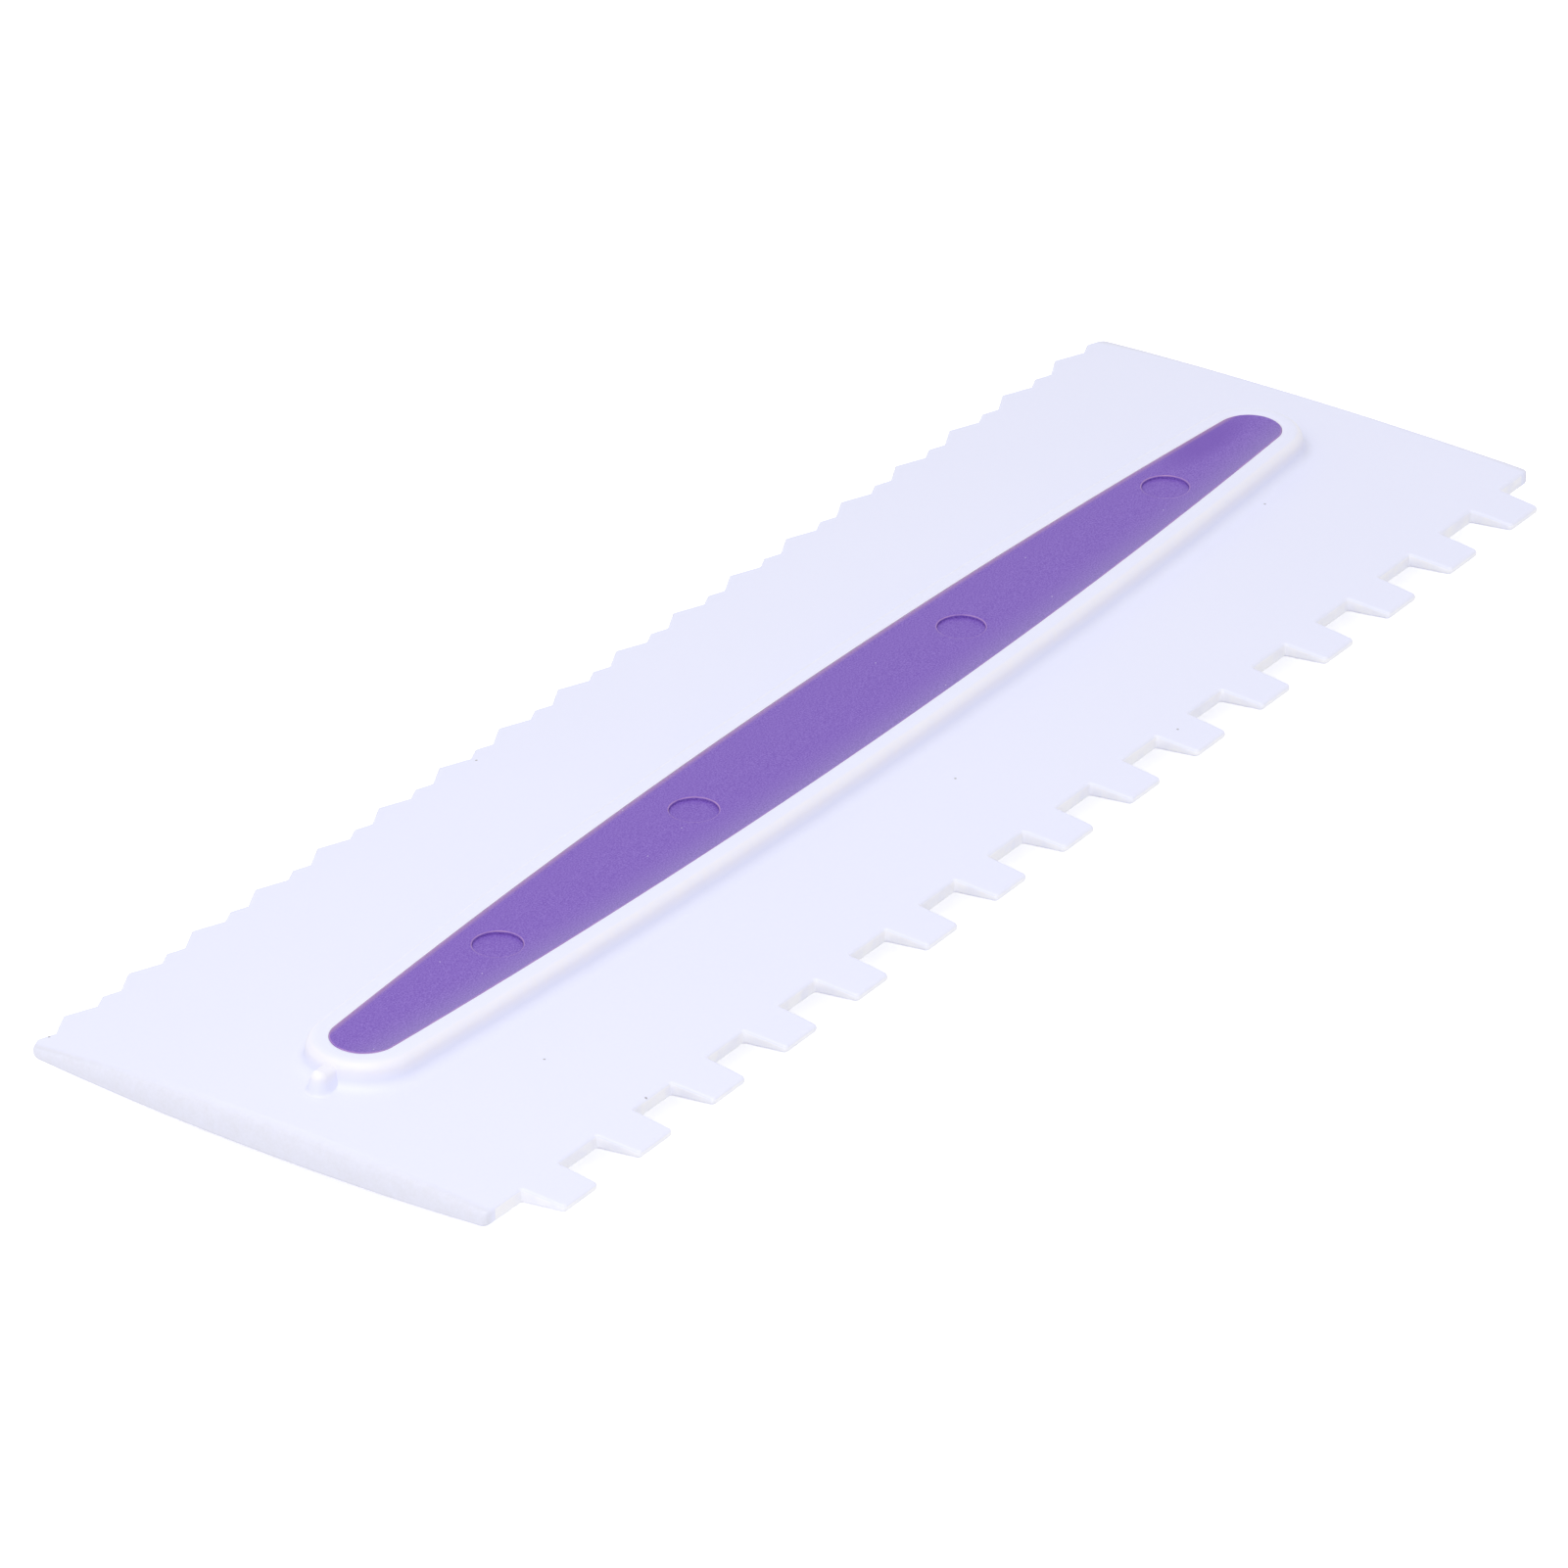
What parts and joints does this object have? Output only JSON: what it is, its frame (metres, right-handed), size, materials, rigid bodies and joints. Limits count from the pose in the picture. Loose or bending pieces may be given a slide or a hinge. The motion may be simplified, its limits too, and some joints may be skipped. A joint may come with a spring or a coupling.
{
  "type": "icing smoother",
  "caption": "Flat icing smoother and comb: thin white blade with a zigzag edge and a square-toothed edge, and a slim raised handle with purple inlays on both faces.",
  "frame": {"origin": "centre of the blade, on its mid-plane, which is also the centre of the whole part's box", "axes": "+X along the blade, away from the handle's gate nub; +Y to the zigzag edge, -Y to the square teeth; +Z out of the face that shows the four pin ends"},
  "size_m": [0.229, 0.075, 0.011],
  "materials": {
    "blade_plastic": "fine satin, moulded white plastic",
    "inlay_plastic": "fine matte, moulded purple plastic"
  },
  "bodies": {
    "root": {"comb_blade": "blade_plastic", "upper_grip": "inlay_plastic", "lower_grip": "inlay_plastic"}
  },
  "joints": []
}
